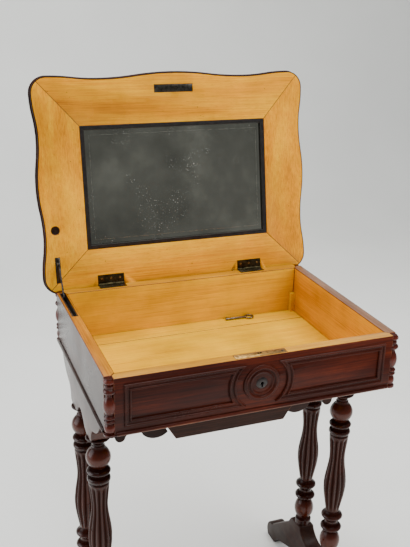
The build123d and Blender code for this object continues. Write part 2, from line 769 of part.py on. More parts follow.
front, back, left, right = case_walls()
lock_plate, lock_case, lock_bolt, nose_level = lock_parts()
frame_right = front_frame()
baluster = corner_baluster()
lining = shut_lining()
drawer_front_board, drawer_back_board, drawer_side_board, drawer_floor, drawer_cleat = drawer_parts()
drawer_runner = runner()[0]
corner_bracket = bracket()
trestle_head = head()
trestle_foot = foot()
turned_leg = leg()
post = block(-inner_x, -inner_x + tray_post_side, inner_front, inner_front + tray_post_side,
             floor_top, floor_top + tray_post_height)
back_post = block(-inner_x, -inner_x + tray_post_side, inner_back - tray_post_side, inner_back,
                  floor_top, floor_top + tray_post_height)

parts = {
    "case_front": front,
    "case_back": back,
    "case_left": left,
    "case_right": right,
    "case_floor": block(-inner_x, inner_x, inner_front, inner_back, case_bottom, floor_top),
    "tray_posts": group([post, back_post, mirrored_x(post), mirrored_x(back_post)]),
    "front_frame_left": mirrored_x(frame_right),
    "front_frame_right": frame_right,
    "front_roundel": roundel(),
    "keyhole_escutcheon": escutcheon(),
    "lock_plate": lock_plate,
    "lock_case": lock_case,
    "lock_bolt": lock_bolt,
    "stay_channel": stay_channel(),
    "trestle_head_left": mirrored_x(trestle_head),
    "trestle_head_right": trestle_head,
    "foot_left": mirrored_x(trestle_foot),
    "foot_right": trestle_foot,
    "stretcher": stretcher(),
    "drawer_front": drawer_front_board,
    "drawer_back": drawer_back_board,
    "drawer_side_left": mirrored_x(drawer_side_board),
    "drawer_side_right": drawer_side_board,
    "drawer_bottom": drawer_floor,
    "drawer_cleats": group([mirrored_x(drawer_cleat), drawer_cleat]),
    "drawer_runners": group([mirrored_x(drawer_runner), drawer_runner]),
    "stay_arm": stay_arm(),
    "case_key": key(),
}
corner_places = {"front_left": (False, False), "front_right": (True, False),
                 "back_left": (False, True), "back_right": (True, True)}
for place, (flip_x, flip_y) in corner_places.items():
    post, brace = baluster, mirrored_x(corner_bracket)
    if flip_x:
        post, brace = mirrored_x(post), corner_bracket
    if flip_y:
        post, brace = mirrored_y(post), mirrored_y(brace)
    parts["corner_baluster_" + place] = post
    parts["leg_bracket_" + place] = brace
    leg_x = (half_width - head_thickness / 2) * (1 if flip_x else -1)
    leg_y = leg_spread_y / 2 * (1 if flip_y else -1)
    parts["leg_" + place] = Pos(leg_x, leg_y, leg_top) * turned_leg

for place, bead in base_beads().items():
    parts["base_bead_" + place] = bead

lid_pieces = {
    "lid_top": shut_lid_top(),
    "lid_lining_front": lining["front"],
    "lid_lining_back": lining["back"],
    "lid_lining_left": lining["left"],
    "lid_lining_right": lining["right"],
    "strike_plate": strike(),
    "stay_bracket": shut_stay_bracket(),
}
slip_depth = lid_under + slip_thickness
slip = prism(mirror_rectangle(0), lid_under, lining_thickness)
slip -= prism(mirror_rectangle(slip_width), lid_under, lining_thickness)
slip -= prism(mirror_rectangle(slip_width - slip_rebate), slip_depth, lining_thickness)
lid_pieces["mirror_slip"] = slip
lid_pieces["mirror_glass"] = prism(mirror_rectangle(slip_width - slip_rebate + mirror_fit),
                                   slip_depth, glass_thickness)
lid_pieces["mirror_backing"] = prism(mirror_rectangle(slip_width - slip_rebate + mirror_fit),
                                     slip_depth + glass_thickness,
                                     lining_thickness - slip_thickness - glass_thickness)
hinges = [hinge_parts(centre) for centre in hinge_centres.values()]
parts["hinge_leaves_case"] = group([hinge[0] for hinge in hinges])
parts["hinge_pins"] = group([hinge[2] for hinge in hinges])
lid_pieces["hinge_leaves_lid"] = group([hinge[1] for hinge in hinges])
for name, piece in lid_pieces.items():
    parts[name] = swing(piece, lid_open_angle)

# The origin is on the floor, in the middle of everything with the lid open
high_back = parts["lid_top"].bounding_box().max.Y
row_shift = -(high_back - max(half_depth + base_bead_depth, foot_reach)) / 2
for name, piece in parts.items():
    export_step(Pos(0, row_shift, 0) * piece, "parts/" + name + ".step")
print("nodes", len(parts), "shift", round(row_shift, 3))
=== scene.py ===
import math

import bmesh
import bpy
import numpy as np
from mathutils import Matrix, Vector


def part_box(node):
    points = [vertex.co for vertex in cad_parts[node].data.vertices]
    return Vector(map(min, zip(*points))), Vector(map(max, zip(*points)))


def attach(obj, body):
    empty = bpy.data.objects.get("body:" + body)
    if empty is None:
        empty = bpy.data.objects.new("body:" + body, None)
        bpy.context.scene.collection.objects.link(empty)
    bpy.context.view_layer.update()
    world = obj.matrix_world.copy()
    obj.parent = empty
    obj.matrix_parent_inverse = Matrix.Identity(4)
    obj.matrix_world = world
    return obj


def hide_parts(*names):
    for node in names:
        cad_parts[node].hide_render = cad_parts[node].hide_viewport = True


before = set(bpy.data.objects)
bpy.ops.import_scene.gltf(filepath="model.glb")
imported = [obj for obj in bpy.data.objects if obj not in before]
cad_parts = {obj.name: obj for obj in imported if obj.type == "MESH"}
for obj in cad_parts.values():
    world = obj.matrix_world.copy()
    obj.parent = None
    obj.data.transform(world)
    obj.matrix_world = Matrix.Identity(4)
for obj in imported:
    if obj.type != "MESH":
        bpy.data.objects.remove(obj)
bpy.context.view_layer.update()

# Studio: the camera stands where the photographer stood, before a pale paper sweep with a curved foot,
# under large soft lights.
camera = bpy.data.objects.new("camera", bpy.data.cameras.new("camera"))
bpy.context.scene.collection.objects.link(camera)
yaw, pitch, roll = math.radians(21.5), math.radians(20.37), math.radians(1.39)
ahead = Vector((math.sin(yaw) * math.cos(pitch), math.cos(yaw) * math.cos(pitch), -math.sin(pitch)))
level = Vector((math.cos(yaw), -math.sin(yaw), 0.0))
upright = level.cross(ahead)
across = level * math.cos(roll) + upright * math.sin(roll)
above = upright * math.cos(roll) - level * math.sin(roll)
camera_spot = Vector((-0.5382, -1.3394, 1.3119))
camera.matrix_world = Matrix((
    (across.x, above.x, -ahead.x, camera_spot.x),
    (across.y, above.y, -ahead.y, camera_spot.y),
    (across.z, above.z, -ahead.z, camera_spot.z),
    (0.0, 0.0, 0.0, 1.0),
))
camera.data.lens = 52.94
camera.data.sensor_width = 36.0
camera.data.sensor_fit = "AUTO"
camera.data.dof.use_dof = False
bpy.context.scene.camera = camera


def feed(tree, socket, value):
    """Gives an input a plain value, or links it to another node's output."""
    if isinstance(value, bpy.types.NodeSocket):
        tree.links.new(value, socket)
    else:
        socket.default_value = value


def fill(tree, node, **sockets):
    """Feeds a node's inputs by name, with an underscore for each space."""
    for name, value in sockets.items():
        feed(tree, node.inputs[name.replace("_", " ")], value)


def add(tree, kind, settings=(), **sockets):
    """Adds a shader node, sets its options and feeds its inputs."""
    made = tree.nodes.new("ShaderNode" + kind)
    for name, value in dict(settings).items():
        setattr(made, name, value)
    fill(tree, made, **sockets)
    return made


def cloudy(tree, place, scale, **more):
    """A cloudy share that changes over the surface; scale is about the number of patches to a metre."""
    return add(tree, "TexNoise", Vector=place, Scale=scale, **more).outputs["Fac"]


def remap(tree, value, **limits):
    """A share carried in proportion from one range of values to another and held within it."""
    return add(tree, "MapRange", Value=value, **limits).outputs["Result"]


def product(tree, first, second):
    """The product of two shares."""
    made = add(tree, "Math", {"operation": "MULTIPLY"})
    feed(tree, made.inputs[0], first)
    feed(tree, made.inputs[1], second)
    return made.outputs[0]


def blend(tree, share, first, second, mode="MIX"):
    """Mixes two colours, each a tuple or a socket, by a share."""
    made = tree.nodes.new("ShaderNodeMix")
    made.data_type = "RGBA"
    made.blend_type = mode
    for place, value in ((0, share), (6, first), (7, second)):
        feed(tree, made.inputs[place], value)
    return made.outputs[2]


def ramp(tree, value, stops):
    """A colour ramp between stops of a position and a colour."""
    made = add(tree, "ValToRGB", Fac=value)
    while len(made.color_ramp.elements) < len(stops):
        made.color_ramp.elements.new(0.5)
    for element, (place, colour) in zip(made.color_ramp.elements, stops):
        element.position = place
        element.color = colour
    return made.outputs["Color"]


def tint(red, green, blue):
    """A colour as the eye names it, turned into the linear light that the shaders use."""
    return tuple((v / 255 / 12.92) if v < 11 else ((v / 255 + 0.055) / 1.055) ** 2.4
                 for v in (red, green, blue)) + (1.0,)


def new_material(name):
    """An empty material with its surface shader, and the object's coordinates."""
    made = bpy.data.materials.new(name)
    made.use_nodes = True
    tree = made.node_tree
    shader = tree.nodes["Principled BSDF"]
    return made, tree, shader, add(tree, "TexCoord").outputs["Object"]


def mottled(name, scale, detail, stops, rough):
    """A material in cloudy patches; rough is one value, or a pair from its first stop to its last."""
    made, tree, shader, place = new_material(name)
    cloud = cloudy(tree, place, scale, Detail=detail)
    if isinstance(rough, tuple):
        rough = remap(tree, cloud, To_Min=rough[0], To_Max=rough[1])
    fill(tree, shader, Base_Color=ramp(tree, cloud, stops), Roughness=rough)
    return made


sweep_paint = mottled("studio_paper", 1.4, 2.0, [(0.3, tint(232, 233, 230)), (0.7, tint(240, 241, 238))],
                      0.75)
half_width, front_end, curve_start, curve_radius, top_end = 6.0, -5.0, 2.2, 1.2, 6.0
side = np.linspace(-half_width, half_width, 2)
bend = np.linspace(0.0, math.pi / 2, 24)
run = np.concatenate([[front_end], curve_start + curve_radius * np.sin(bend), [curve_start + curve_radius]])
lift = np.concatenate([[0.0], curve_radius - curve_radius * np.cos(bend), [top_end]])
sheet = np.stack([np.repeat(side, len(run)), np.tile(run, 2), np.tile(lift, 2)], 1)
order = np.arange(len(run) - 1)
quads = np.stack([order, order + 1, order + 1 + len(run), order + len(run)], 1)
sweep_mesh = bpy.data.meshes.new("studio_sweep")
sweep_mesh.from_pydata(sheet.tolist(), [], quads[:, ::-1].tolist())
sweep_mesh.polygons.foreach_set("use_smooth", np.ones(len(quads), bool))
sweep_mesh.materials.append(sweep_paint)
sweep = bpy.data.objects.new("studio_sweep", sweep_mesh)
bpy.context.scene.collection.objects.link(sweep)

world = bpy.data.worlds.new("studio_air")
bpy.context.scene.world = world
world.use_nodes = True
fill(world.node_tree, world.node_tree.nodes["Background"], Color=(0.93, 0.96, 1.0, 1.0), Strength=0.30)


def softbox(name, spot, target, width, height, power, colour, mirrored=True):
    """A large soft light aimed at a point, seen in polished things only where mirrored."""
    lamp = bpy.data.lights.new(name, "AREA")
    lamp.shape = "RECTANGLE"
    lamp.size, lamp.size_y = width, height
    lamp.energy = power
    lamp.color = colour
    holder = bpy.data.objects.new(name, lamp)
    bpy.context.scene.collection.objects.link(holder)
    holder.location = spot
    holder.rotation_euler = (Vector(target) - Vector(spot)).to_track_quat("-Z", "Y").to_euler()
    holder.visible_glossy = mirrored


softbox("window_left", (-2.9, 0.5, 1.5), (0.0, 0.0, 0.7), 2.4, 2.2, 84.0, (0.96, 0.97, 1.0))
softbox("ceiling", (0.2, 0.2, 3.2), (0.0, 0.0, 0.6), 3.0, 3.0, 150.0, (1.0, 0.99, 0.96))
softbox("front_fill", (1.6, -2.8, 1.9), (0.0, 0.0, 0.7), 2.0, 1.6, 60.0, (1.0, 0.98, 0.95), False)

# Trestle heads: two mahogany boards on edge under the case, glued up against its floor. The wood's
# grain, its French polish and its worn arrises are set out here for all the dark parts.
case_half_depth = 0.199
middle_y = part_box("case_front")[0].y + case_half_depth


def grain_group():
    """Broad figure, fine fibre and dark pores of a wood whose grain runs along the first axis."""
    group = bpy.data.node_groups.new("wood_grain", "ShaderNodeTree")
    group.interface.new_socket("Vector", in_out="INPUT", socket_type="NodeSocketVector")
    for name in ("Figure", "Fibre", "Pores"):
        group.interface.new_socket(name, in_out="OUTPUT", socket_type="NodeSocketFloat")
    entry = group.nodes.new("NodeGroupInput").outputs["Vector"]
    leave = group.nodes.new("NodeGroupOutput")
    broad = add(group, "Mapping", Vector=entry, Scale=(2.4, 15.0, 15.0))
    figure = add(group, "TexNoise", Vector=broad.outputs[0], Scale=1.0, Detail=5.0,
                 Roughness=0.58, Distortion=0.9)
    fine = add(group, "Mapping", Vector=entry, Scale=(9.0, 420.0, 420.0))
    fibre = add(group, "TexNoise", Vector=fine.outputs[0], Scale=1.0, Detail=3.0, Roughness=0.6)
    small = add(group, "Mapping", Vector=entry, Scale=(90.0, 1500.0, 1500.0))
    dots = add(group, "TexNoise", Vector=small.outputs[0], Scale=1.0, Detail=1.0)
    pores = add(group, "MapRange", Value=dots.outputs["Fac"], From_Min=0.6, From_Max=0.72)
    group.links.new(figure.outputs["Fac"], leave.inputs["Figure"])
    group.links.new(fibre.outputs["Fac"], leave.inputs["Fibre"])
    group.links.new(pores.outputs["Result"], leave.inputs["Pores"])
    return group


wood_group = grain_group()
along_x, along_y, along_z = (0.0, 0.0, 0.0), (0.0, 0.0, math.pi / 2), (0.0, math.pi / 2, 0.0)


def wood(name, stops, turn, rough=0.36, coat=0.06, depth=0.25, dust=None, fleck=0.5, gleam=0.2,
         specks=0.0, turned=None):
    """A polished wood. Its colour is a ramp over 0.55 of the figure and 0.45 of the fibre, darker in
    the pores and in cloudy patches. dust lies on it in patches, specks are small dark marks, and turned
    is the red of a turning's swells, painted as rubbed wear and sheen; its necks and flutes are painted dark
    as shade and made dull."""
    made, tree, shader, place = new_material(name)
    laid = add(tree, "Mapping", Vector=place, Rotation=turn)
    grain = add(tree, "Group", {"node_tree": wood_group})
    tree.links.new(laid.outputs[0], grain.inputs["Vector"])
    tone = add(tree, "Math", {"operation": "MULTIPLY_ADD"})
    for socket, value in zip(tone.inputs, (grain.outputs["Fibre"], 0.45,
                                           product(tree, grain.outputs["Figure"], 0.55))):
        feed(tree, socket, value)
    colour = ramp(tree, tone.outputs[0], stops)
    cloud = cloudy(tree, place, 7.0, Detail=4.0, Roughness=0.6)
    shade = ramp(tree, cloud, [(0.3, (0.72, 0.70, 0.68, 1)), (0.7, (1.12, 1.1, 1.08, 1))])
    colour = blend(tree, 1.0, colour, shade, "MULTIPLY")
    darkest = stops[0][1]
    colour = blend(tree, product(tree, grain.outputs["Pores"], fleck), colour, darkest)
    if dust:
        grime = cloudy(tree, place, 38.0, Detail=6.0, Roughness=0.7)
        film = remap(tree, grime, From_Min=0.45, From_Max=0.75, To_Max=0.6)
        colour = blend(tree, film, colour, dust)
    polish = {"Coat_Weight": coat, "Specular_IOR_Level": gleam}
    if turned:
        # A turning's balls are painted a brighter red, as rubbed wear and as painted sheen.
        ball = add(tree, "Attribute", {"attribute_name": "wear_and_sheen"}).outputs["Fac"]
        colour = blend(tree, product(tree, ball, 0.6), colour, turned)
        # Necks and flutes are painted near black as shade, and their coat and gleam fall away.
        low = add(tree, "Attribute", {"attribute_name": "hollow"}).outputs["Fac"]
        colour = blend(tree, remap(tree, low, To_Max=0.55), colour, tint(14, 6, 4))
        polish = {"Coat_Weight": remap(tree, low, To_Min=coat, To_Max=0.0),
                  "Specular_IOR_Level": remap(tree, low, To_Min=gleam, To_Max=0.02)}
    if specks:
        cells = add(tree, "TexVoronoi", Vector=place, Scale=75.0, Randomness=1.0).outputs["Distance"]
        near = remap(tree, cells, From_Min=0.10, From_Max=0.05, To_Max=1.0)
        chosen = cloudy(tree, place, 24.0, Detail=1.0)
        some = remap(tree, chosen, From_Min=0.54, From_Max=0.6, To_Max=specks)
        colour = blend(tree, product(tree, near, some), colour, tint(70, 30, 8))
    uneven = remap(tree, cloud, From_Min=0.3, From_Max=0.7, To_Min=rough - 0.07, To_Max=rough + 0.12)
    fill(tree, shader, Base_Color=colour, Roughness=uneven, Coat_Roughness=0.2, **polish)
    bump = add(tree, "Bump", Strength=depth, Distance=0.0004, Height=tone.outputs[0])
    tree.links.new(bump.outputs[0], shader.inputs["Normal"])
    return made


mahogany_stops = [(0.30, tint(34, 10, 5)), (0.47, tint(62, 20, 9)), (0.60, tint(88, 32, 14)),
                  (0.74, tint(122, 52, 24))]
worn_stops = [(0.30, tint(46, 18, 6)), (0.5, tint(104, 50, 14)), (0.7, tint(160, 90, 28))]
mahogany_x = wood("mahogany_along_x", mahogany_stops, along_x, rough=0.42, coat=0.03)
mahogany_y = wood("mahogany_along_y", [(0.30, tint(22, 8, 5)), (0.47, tint(42, 16, 9)),
                  (0.60, tint(62, 26, 15)), (0.74, tint(88, 42, 25))], along_y, rough=0.28, coat=0.14,
                  gleam=0.4)
worn_edge = wood("mahogany_worn_edge", worn_stops, along_x, rough=0.42, coat=0.3)


def finish_piece(piece, paints, body, slot, *nodes):
    """Links a piece, gives it its materials and body, and hides the CAD nodes that it stands for; slot is not
    used.
    """
    bpy.context.scene.collection.objects.link(piece)
    for paint in paints:
        piece.data.materials.append(paint)
    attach(piece, body)
    if nodes:
        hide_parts(*nodes)
    return piece


def rounded(piece, width, segments=3, edge_paint=-1):
    """Rounds over the arrises of a piece."""
    bevel = piece.modifiers.new("arris", "BEVEL")
    bevel.width = width
    bevel.segments = segments
    bevel.limit_method = "ANGLE"
    bevel.angle_limit = math.radians(32)
    bevel.use_clamp_overlap = False
    bevel.harden_normals = True
    bevel.material = edge_paint
    return piece


def softened(name, width, paints, body, slot, node, pick=None, edge_paint=-1, segments=3):
    """A copy of a CAD node, its triangles joined into whole faces and its arrises rounded over.
    pick takes the faces' centres and normals and gives each face's material number."""
    work = bmesh.new()
    work.from_mesh(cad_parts[node].data)
    bmesh.ops.remove_doubles(work, verts=work.verts, dist=2e-6)
    bmesh.ops.dissolve_limit(work, angle_limit=math.radians(0.8), verts=work.verts, edges=work.edges)
    bmesh.ops.recalc_face_normals(work, faces=work.faces)
    mesh = bpy.data.meshes.new(name)
    work.to_mesh(mesh)
    work.free()
    count = len(mesh.polygons)
    mesh.polygons.foreach_set("use_smooth", np.ones(count, bool))
    piece = bpy.data.objects.new(name, mesh)
    finish_piece(piece, paints, body, slot, node)
    if pick:
        centres, normals = np.zeros(3 * count), np.zeros(3 * count)
        mesh.polygons.foreach_get("center", centres)
        mesh.polygons.foreach_get("normal", normals)
        chosen = pick(centres.reshape(-1, 3), normals.reshape(-1, 3))
        mesh.polygons.foreach_set("material_index", np.asarray(chosen, np.int32))
    return rounded(piece, width, segments, edge_paint)


for hand in ("left", "right"):
    softened("trestle_head_board_" + hand, 0.0022, [mahogany_y], "table", "mahogany",
             "trestle_head_" + hand)

# Legs: four mahogany turnings with a ball, rings and a fluted shaft, dowelled into head and foot.
# Their flutes and necks are painted dark as shade, and their balls a brighter red as rubbed wear and painted
# sheen.
def surface(name, points, wrap_rows=False, caps=True):
    """A closed skin over a grid of points whose columns run round; flat ends are capped."""
    rows, columns = points.shape[:2]
    index = np.arange(rows * columns).reshape(rows, columns)
    if wrap_rows:
        index = np.vstack([index, index[:1]])
    beside = np.roll(index, -1, axis=1)
    quads = np.stack([index[:-1], beside[:-1], beside[1:], index[1:]], -1).reshape(-1, 4)
    faces = quads.tolist()
    if caps and not wrap_rows:
        faces += [index[0].tolist()[::-1], index[-1].tolist()]
    mesh = bpy.data.meshes.new(name)
    mesh.from_pydata(points.reshape(-1, 3).tolist(), [], faces)
    work = bmesh.new()
    work.from_mesh(mesh)
    bmesh.ops.recalc_face_normals(work, faces=work.faces)
    for face in work.faces:
        face.smooth = len(face.verts) == 4
    work.to_mesh(mesh)
    work.free()
    return bpy.data.objects.new(name, mesh)


def profile(rows, fine=10):
    """Radii and heights down a turning; a row's third value swells or hollows the step before it."""
    points = [rows[0][:2]]
    for (r0, z0, *_), (r1, z1, swell) in zip(rows, rows[1:]):
        share = np.linspace(0, 1, fine + 1)[1:] if swell else np.array([0.08, 0.92, 1.0])
        radius = r0 + (r1 - r0) * share + 4 * swell * share * (1 - share)
        points += list(zip(radius, z0 + (z1 - z0) * share))
    return np.array(points) / 1000


def spun(shape, around, flute=None):
    """Carries a profile round the vertical axis, to radius times cosine and radius times sine of the
    turn; flute gives the share by which the radius is dented at each height and turn."""
    turn = np.linspace(0, 2 * np.pi, around, endpoint=False)
    radius = np.repeat(shape[:, :1], around, 1)
    if flute is not None:
        radius = radius * (1 - flute(shape[:, 1:], turn[None]))
    heights = np.repeat(shape[:, 1:], around, 1)
    return np.stack([radius * np.cos(turn), radius * np.sin(turn), heights], -1)


leg_rows = [(20.6, 0, 0), (22.0, -1.2, 0), (22.3, -3.2, 0.15), (20.2, -5.0, 0), (11.0, -17.5, -3.4),
            (12.2, -19.0, 0.3), (12.6, -20.4, 0.2), (11.2, -21.5, 0), (12.5, -64.5, 11.2),
            (14.5, -65.5, 0), (17.4, -67.0, 0), (17.4, -77.5, 4.8), (15.6, -78.6, 0), (15.6, -82.8, -0.5),
            (20.2, -84.6, 0), (20.2, -93.0, 1.6), (18.0, -94.0, 0), (18.6, -97.0, -0.5)]
shaft_shape = np.array([(0.0, 19.6), (0.05, 19.2), (0.15, 17.2), (0.25, 15.6), (0.33, 16.0), (0.42, 18.0),
                        (0.50, 20.6), (0.58, 22.5), (0.64, 23.0), (0.70, 22.7), (0.78, 21.2),
                        (0.85, 19.0), (0.92, 16.6), (1.0, 14.2)])
low_rows = [(14.2, -281, 0), (13.8, -283.0, -0.2), (17.6, -288.6, 0), (17.6, -301, 4.9), (14.4, -302.4, 0),
            (14.4, -315.6, -1.2), (17.4, -317.6, 0), (17.4, -330, 5.0), (12.8, -331.4, 0),
            (12.8, -334.0, -0.4), (13.0, -383.5, 8.6), (15.0, -385.0, 0), (17.7, -387.0, 0.3),
            (17.7, -398.9, 0.0)]
flute_depth = 0.125
shaft_share = np.linspace(0, 1, 72)
shaft_radius = np.interp(shaft_share, shaft_shape[:, 0], shaft_shape[:, 1])
shaft_radius = np.convolve(np.pad(shaft_radius, 3, mode="edge"), np.ones(7) / 7, "valid")
shaft_line = np.stack([shaft_radius, -97.0 - 184.0 * shaft_share], 1) / 1000
leg_line = np.vstack([profile(leg_rows), shaft_line[1:-1], profile(low_rows)])


def flutes(height, turn):
    """Twelve hollow flutes with narrow flats between them. The dent follows the sine of six times the
    turn, less the flats, and runs out as the root of the distance to the flutes' ends."""
    end = np.minimum((-0.100 - height) / 0.010, (height + 0.279) / 0.012)
    fade = np.sqrt(np.clip(end, 0, 1))
    hollow = np.clip((np.abs(np.sin(6 * turn)) - 0.2) / 0.8, 0, 1) ** 0.8
    return flute_depth * fade * hollow


leg_wood = wood("leg_mahogany", [(0.28, tint(20, 5, 2)), (0.45, tint(38, 11, 5)),
                (0.60, tint(62, 21, 8)), (0.76, tint(100, 42, 16))], along_z, rough=0.22, coat=0.16,
                depth=0.15, gleam=0.3, turned=tint(84, 30, 8))
leg_points = spun(leg_line, 144, flutes)


def tone_turning(piece, points, hollow, wear_and_sheen):
    """Stores two shares at every point of a turning: painted shade in its hollows, and red on its balls as
    rubbed wear and painted sheen.
    """
    for name, values in (("hollow", hollow), ("wear_and_sheen", wear_and_sheen)):
        layer = piece.data.attributes.new(name, "FLOAT", "POINT")
        spread = np.broadcast_to(values, points.shape[:2]).reshape(-1)
        layer.data.foreach_set("value", spread.astype(np.float32))


def wear_and_sheen_bands(heights, balls):
    """A share that rises to one at the middle of each ball, given as a low and a high height."""
    total = np.zeros(len(heights))
    for low, high in balls:
        middle, half = (low + high) / 2, (high - low) / 2
        total = np.maximum(total, np.clip(1 - ((heights - middle) / half) ** 2, 0, 1))
    return total[:, None]


def narrow(shape, reach=0.006):
    """A share that rises where a turning is narrower than its neighbourhood, in necks and quirks."""
    heights = shape[:, 1]
    close = np.abs(heights[:, None] - heights[None]) < reach
    widest = np.where(close, shape[None, :, 0], 0).max(1)
    return np.clip((widest - shape[:, 0]) / 0.005, 0, 1)[:, None]


turn = np.linspace(0, 2 * np.pi, 144, endpoint=False)
shaft_only = ((leg_line[:, 1] < -0.097) & (leg_line[:, 1] > -0.281))[:, None]
# The shaft's flutes and the necks get the share of painted shade.
leg_hollow_shade = np.where(shaft_only, flutes(leg_line[:, 1:], turn[None]) / flute_depth, narrow(leg_line))
# The balls get the share of rubbed wear and painted sheen, and the fluted shaft a little of it.
leg_wear_and_sheen = wear_and_sheen_bands(leg_line[:, 1], ((-0.066, -0.018), (-0.385, -0.332))) + 0.35 * shaft_only
leg_x, leg_y, leg_top = 0.252, 0.0594, 0.532
for end, back in (("front", -1), ("back", 1)):
    for hand, right in (("left", -1), ("right", 1)):
        leg = surface("turned_leg_" + end + "_" + hand,
                      leg_points + np.array([right * leg_x, middle_y + back * leg_y, leg_top]))
        tone_turning(leg, leg_points, leg_hollow_shade, leg_wear_and_sheen)
        finish_piece(leg, [leg_wood], "table", "mahogany", "leg_" + end + "_" + hand)

# Feet: a shaped mahogany board with rounded toes under each pair of legs, bored for their dowels.
# Dust has dulled it.
foot_wood = wood("foot_mahogany", [(0.28, tint(18, 7, 4)), (0.5, tint(34, 15, 9)),
                 (0.72, tint(54, 26, 16))], along_y, rough=0.42, coat=0.04, dust=tint(58, 44, 37), gleam=0.12)
for hand in ("left", "right"):
    softened("scrolled_foot_" + hand, 0.0032, [foot_wood], "table", "mahogany", "foot_" + hand, segments=4)

# Brackets: shaped mahogany boards from the heads in towards the drawer, glued under the case. They
# stand in its shade, so their wood is painted darker as shade, and their polish is dull.
shade_wood = wood("underframe_mahogany_painted_shade", [(0.28, tint(16, 6, 3)), (0.5, tint(34, 13, 7)),
                  (0.72, tint(58, 25, 13))], along_x, rough=0.4, coat=0.03, gleam=0.14)
for corner in ("front_left", "front_right", "back_left", "back_right"):
    softened("shaped_bracket_" + corner, 0.0014, [shade_wood], "table", "mahogany", "leg_bracket_" + corner)

# Stretcher: a mahogany rail between the feet, turned with rings and long swells about its middle, and
# tenoned into both feet.
rail_rows = [(16.5, 0, 0), (14.0, 13, 1.6), (9.5, 15, 0), (9.5, 154, 4.5), (13.5, 156, 0), (13.5, 168, 2.5),
             (9.5, 170, 0), (9.5, 214, 3.5), (14.5, 216, 0), (14.5, 226, 2.0), (11.0, 228, 0),
             (11.0, 233.9, 0.1)]
half_rail = profile(rail_rows)
whole_rail = np.vstack([half_rail[::-1] * np.array([1, -1]), half_rail[1:]])
rail_height = 0.082
rail_points = spun(whole_rail, 64)[..., [2, 0, 1]] + np.array([0.0, middle_y, rail_height])
finish_piece(surface("turned_stretcher", rail_points), [mahogany_x], "table", "mahogany", "stretcher")

# Hanging drawer: a trough of thin boards, its front with a smoky figure. Two cleats on its sides hang
# on runners that are screwed to the case.
drawer_wood = wood("drawer_front_wood", [(0.28, tint(20, 8, 4)), (0.48, tint(40, 18, 10)),
                   (0.62, tint(62, 31, 18)), (0.78, tint(92, 52, 32))], along_x, rough=0.42, coat=0.05,
                   gleam=0.12)
drawer_wood_y = wood("drawer_side_wood", [(0.28, tint(58, 38, 30)), (0.5, tint(98, 68, 50)),
                     (0.72, tint(134, 98, 72))], along_y, rough=0.45, coat=0.2)
for end in ("front", "back"):
    softened("drawer_board_" + end, 0.0010, [drawer_wood, worn_edge], "drawer", "drawer_wood",
             "drawer_" + end, edge_paint=1)
for part in ("side_left", "side_right", "bottom", "cleats"):
    softened("drawer_piece_" + part, 0.0006, [drawer_wood_y], "drawer", "drawer_wood", "drawer_" + part)
softened("runner_rails", 0.0008, [drawer_wood_y], "table", "mahogany", "drawer_runners")

# Case walls: four boards, mahogany outside and blond satinwood within, joined at the corners. The rim
# shows a worn tone of its own on each side.
satin_stops = [(0.28, tint(176, 116, 4)), (0.45, tint(226, 166, 5)), (0.60, tint(242, 188, 12)),
               (0.76, tint(252, 210, 36))]
satin_x = wood("satinwood_along_x", satin_stops, along_x, rough=0.34, coat=0.15, depth=0.12, fleck=0.25)
satin_y = wood("satinwood_along_y", satin_stops, along_y, rough=0.34, coat=0.15, depth=0.12, fleck=0.25)
# A darker, oranger copy of the satinwood, painted as shade on the right wall's inner face.
satin_shaded_y = wood("satinwood_painted_shade", [(0.28, tint(160, 94, 2)), (0.5, tint(214, 142, 4)),
               (0.72, tint(240, 176, 14))], along_y, rough=0.36, coat=0.15, depth=0.15, fleck=0.35)
rim_honey = wood("rim_honey", [(0.28, tint(104, 58, 12)), (0.5, tint(170, 104, 20)),
                 (0.72, tint(208, 146, 36))], along_y, rough=0.36, coat=0.1, depth=0.2)
rim_grey = wood("rim_mahogany", [(0.28, tint(78, 50, 36)), (0.5, tint(122, 88, 66)),
                (0.72, tint(156, 118, 88))], along_y, rough=0.4, coat=0.3, depth=0.2)
rim_gold = wood("rim_satinwood", [(0.28, tint(128, 78, 10)), (0.5, tint(190, 132, 18)),
                (0.72, tint(222, 168, 36))], along_x, rough=0.38, coat=0.3, depth=0.15)


def wall_faces(inward, axis):
    """Gives 0 outside, 1 on the face that looks into the case and 2 on the rim."""
    lowest_rim = 0.7150

    def choose(centres, normals):
        inner = normals[:, axis] * inward > 0.9
        rim = (normals[:, 2] > 0.9) & (centres[:, 2] > lowest_rim)
        return np.where(rim, 2, np.where(inner, 1, 0))
    return choose


softened("front_wall", 0.0009, [mahogany_x, satin_x, rim_gold, worn_edge], "table", "mahogany",
         "case_front", wall_faces(1, 1), edge_paint=3)
softened("back_wall", 0.0009, [mahogany_x, satin_x, rim_gold, worn_edge], "table", "mahogany",
         "case_back", wall_faces(-1, 1), edge_paint=3)
softened("left_wall", 0.0012, [mahogany_y, satin_y, rim_honey, worn_edge], "table", "mahogany",
         "case_left", wall_faces(1, 0), edge_paint=3)
# The right wall's inner face takes the satinwood's painted-shade copy.
softened("right_wall", 0.0012, [mahogany_y, satin_shaded_y, rim_grey, worn_edge], "table", "mahogany",
         "case_right", wall_faces(-1, 0), edge_paint=3)


